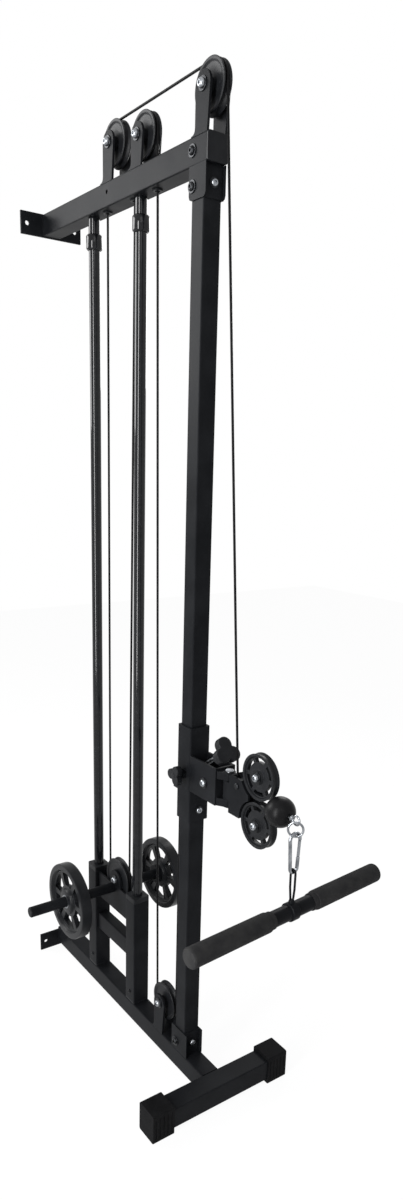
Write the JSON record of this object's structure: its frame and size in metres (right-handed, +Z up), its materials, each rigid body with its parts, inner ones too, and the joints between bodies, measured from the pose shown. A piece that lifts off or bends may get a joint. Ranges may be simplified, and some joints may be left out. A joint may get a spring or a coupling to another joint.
{
  "type": "wall cable pulley tower",
  "caption": "Wall-fixed cable tower: plate-loaded carriage on guide rods, height-adjustable swivel pulley arm on an upright, one cable over grooved wheels and a foam-gripped hand bar.",
  "frame": {"origin": "middle of the lower wall plate's back face, which lies on the wall, 25 mm above the floor", "axes": "+Z up along the upright, +Y into the wall, -Y forward to the user, X to the right as seen from the front"},
  "size_m": [0.5036, 1.0319, 2.094],
  "materials": {
    "paint_black": "semi-gloss black powder coat",
    "rod_black": "glossy black plated steel",
    "zinc_steel": "bright zinc-plated steel",
    "moulded_nylon": "moulded black nylon",
    "moulded_rubber": "matt black rubber",
    "plate_iron": "black painted cast iron",
    "cable_sheath": "smooth black cable sheath",
    "grip_foam": "closed-cell foam, matt and pored"
  },
  "bodies": {
    "frame": {"base_frame": "paint_black", "foot_cap_left": "moulded_rubber", "foot_cap_right": "moulded_rubber", "front_upright": "paint_black", "top_boom": "paint_black", "boom_end_cap": "moulded_nylon", "guide_rod_rear": "rod_black", "guide_rod_front": "rod_black", "rod_collar_rear": "rod_black", "rod_collar_front": "rod_black", "top_pulley_front_bolt": "zinc_steel", "top_pulley_middle_bolt": "zinc_steel", "top_pulley_rear_bolt": "zinc_steel", "low_pulley_bolt": "zinc_steel", "boom_bolt": "zinc_steel", "top_socket_bolt": "zinc_steel", "base_socket_bolt": "zinc_steel", "cable_top_run": "cable_sheath", "cable_rear_run": "cable_sheath", "cable_rising_run": "cable_sheath", "cable_low_run": "cable_sheath", "cable_return_run": "cable_sheath", "cable_front_run": "cable_sheath"},
    "front_wheel": {"top_pulley_front": "moulded_nylon"},
    "middle_wheel": {"top_pulley_middle": "moulded_nylon"},
    "rear_wheel": {"top_pulley_rear": "moulded_nylon"},
    "low_wheel": {"low_pulley": "moulded_nylon"},
    "carriage": {"carriage_frame": "paint_black", "sleeve_bush_rear_top": "moulded_nylon", "sleeve_bush_front_top": "moulded_nylon", "sleeve_bush_rear_bottom": "moulded_nylon", "sleeve_bush_front_bottom": "moulded_nylon", "carriage_pulley_bolt": "zinc_steel", "cable_carriage_bend": "cable_sheath"},
    "carriage_wheel": {"carriage_pulley": "moulded_nylon"},
    "left_plate": {"weight_plate_left": "plate_iron"},
    "right_plate": {"weight_plate_right": "plate_iron"},
    "slider": {"slider": "paint_black", "arm_bolt": "zinc_steel", "cable_anchor_ferrule": "zinc_steel", "yoke_hinge_pin": "zinc_steel"},
    "side_knob": {"side_clamp_knob": "moulded_nylon"},
    "lock_knob": {"lock_knob": "moulded_nylon"},
    "yoke": {"swivel_yoke": "paint_black", "swivel_wheel_upper_bolt": "zinc_steel", "swivel_wheel_lower_bolt": "zinc_steel", "yoke_roller_pin": "zinc_steel", "cable_yoke_bend": "cable_sheath"},
    "upper_wheel": {"swivel_wheel_upper": "moulded_nylon"},
    "lower_wheel": {"swivel_wheel_lower": "moulded_nylon"},
    "guide_roller": {"yoke_guide_roller": "moulded_nylon"},
    "ball": {"stop_ball": "moulded_rubber", "cable_end_eye": "zinc_steel", "cable_pull_run": "cable_sheath"},
    "ring": {"pull_ring": "zinc_steel"},
    "hook": {"snap_hook": "zinc_steel"},
    "gate": {"hook_gate": "zinc_steel"},
    "bar": {"hand_bar": "paint_black", "foam_grip_left": "grip_foam", "foam_grip_right": "grip_foam"}
  },
  "joints": [
    {"name": "carriage_lift", "type": "slide", "parent": "frame", "child": "carriage", "axis": [0, 0, 1], "range_m": [0, 1.5], "deforming": ["cable_rear_run", "cable_rising_run"]},
    {"name": "carriage_wheel_spin", "type": "hinge", "parent": "carriage", "child": "carriage_wheel", "pos_m": [0, -0.336, 0.337], "axis": [1, 0, 0], "range_deg": [0, 1760]},
    {"name": "front_wheel_spin", "type": "hinge", "parent": "frame", "child": "front_wheel", "pos_m": [0, -0.668, 2.024], "axis": [1, 0, 0], "range_deg": [0, 4100]},
    {"name": "rear_wheel_spin", "type": "hinge", "parent": "frame", "child": "rear_wheel", "pos_m": [0, -0.327, 2.021], "axis": [1, 0, 0], "range_deg": [0, 4100]},
    {"name": "middle_wheel_spin", "type": "hinge", "parent": "frame", "child": "middle_wheel", "pos_m": [0, -0.443, 2.005], "axis": [1, 0, 0], "range_deg": [-620, 1300]},
    {"name": "low_wheel_spin", "type": "hinge", "parent": "frame", "child": "low_wheel", "pos_m": [0, -0.566, 0.114], "axis": [1, 0, 0], "range_deg": [-1300, 620]},
    {"name": "left_plate_slide", "type": "slide", "parent": "carriage", "child": "left_plate", "axis": [-1, 0, 0], "range_m": [0, 0.125]},
    {"name": "right_plate_slide", "type": "slide", "parent": "carriage", "child": "right_plate", "axis": [1, 0, 0], "range_m": [0, 0.125]},
    {"name": "slider_slide", "type": "slide", "parent": "frame", "child": "slider", "axis": [0, 0, 1], "range_m": [-0.45, 0.95], "deforming": ["cable_front_run", "cable_return_run"]},
    {"name": "side_knob_turn", "type": "hinge", "parent": "slider", "child": "side_knob", "pos_m": [-0.04, -0.655, 0.739], "axis": [-1, 0, 0], "continuous": true},
    {"name": "lock_knob_turn", "type": "hinge", "parent": "slider", "child": "lock_knob", "pos_m": [0, -0.761, 0.812], "axis": [0, -0.8192, 0.5736], "continuous": true},
    {"name": "yoke_swing", "type": "hinge", "parent": "slider", "child": "yoke", "pos_m": [0, -0.785, 0.75], "axis": [0, 0, 1], "range_deg": [-60, 60]},
    {"name": "upper_wheel_spin", "type": "hinge", "parent": "yoke", "child": "upper_wheel", "pos_m": [0, -0.884, 0.802], "axis": [1, 0, 0], "continuous": true},
    {"name": "lower_wheel_spin", "type": "hinge", "parent": "yoke", "child": "lower_wheel", "pos_m": [0, -0.884, 0.7015], "axis": [1, 0, 0], "continuous": true},
    {"name": "guide_roller_spin", "type": "hinge", "parent": "yoke", "child": "guide_roller", "pos_m": [0, -0.825, 0.76475], "axis": [1, 0, 0], "range_deg": [-13230, 0]},
    {"name": "ball_pull", "type": "slide", "parent": "yoke", "child": "ball", "axis": [0, -1, 0], "range_m": [0, 3], "deforming": ["cable_pull_run"]},
    {"name": "ring_swing", "type": "hinge", "parent": "ball", "child": "ring", "pos_m": [0, -0.9908, 0.75175], "axis": [1, 0, 0], "range_deg": [-75, 10]},
    {"name": "hook_swing", "type": "hinge", "parent": "ring", "child": "hook", "pos_m": [0, -0.9908, 0.71385], "axis": [0, -1, 0], "range_deg": [-35, 35]},
    {"name": "gate_open", "type": "hinge", "parent": "hook", "child": "gate", "pos_m": [0.00679, -0.9908, 0.67692], "axis": [0, -1, 0], "range_deg": [0, 25], "stiffness_Nm_per_rad": 0.05, "springref_deg": -11.46},
    {"name": "bar_swing", "type": "hinge", "parent": "hook", "child": "bar", "pos_m": [0, -0.9908, 0.64685], "axis": [1, 0, 0], "range_deg": [-60, 60]}
  ],
  "couplings": [
    {"joint": "carriage_wheel_spin", "follows": "carriage_lift", "rad_per_m": 20.408},
    {"joint": "front_wheel_spin", "follows": "carriage_lift", "rad_per_m": 47.619},
    {"joint": "rear_wheel_spin", "follows": "carriage_lift", "rad_per_m": 47.619},
    {"joint": "guide_roller_spin", "follows": "carriage_lift", "rad_per_m": -153.85},
    {"joint": "ball_pull", "follows": "carriage_lift", "ratio": 2},
    {"joint": "middle_wheel_spin", "follows": "slider_slide", "rad_per_m": 23.809},
    {"joint": "low_wheel_spin", "follows": "slider_slide", "rad_per_m": -23.809}
  ]
}
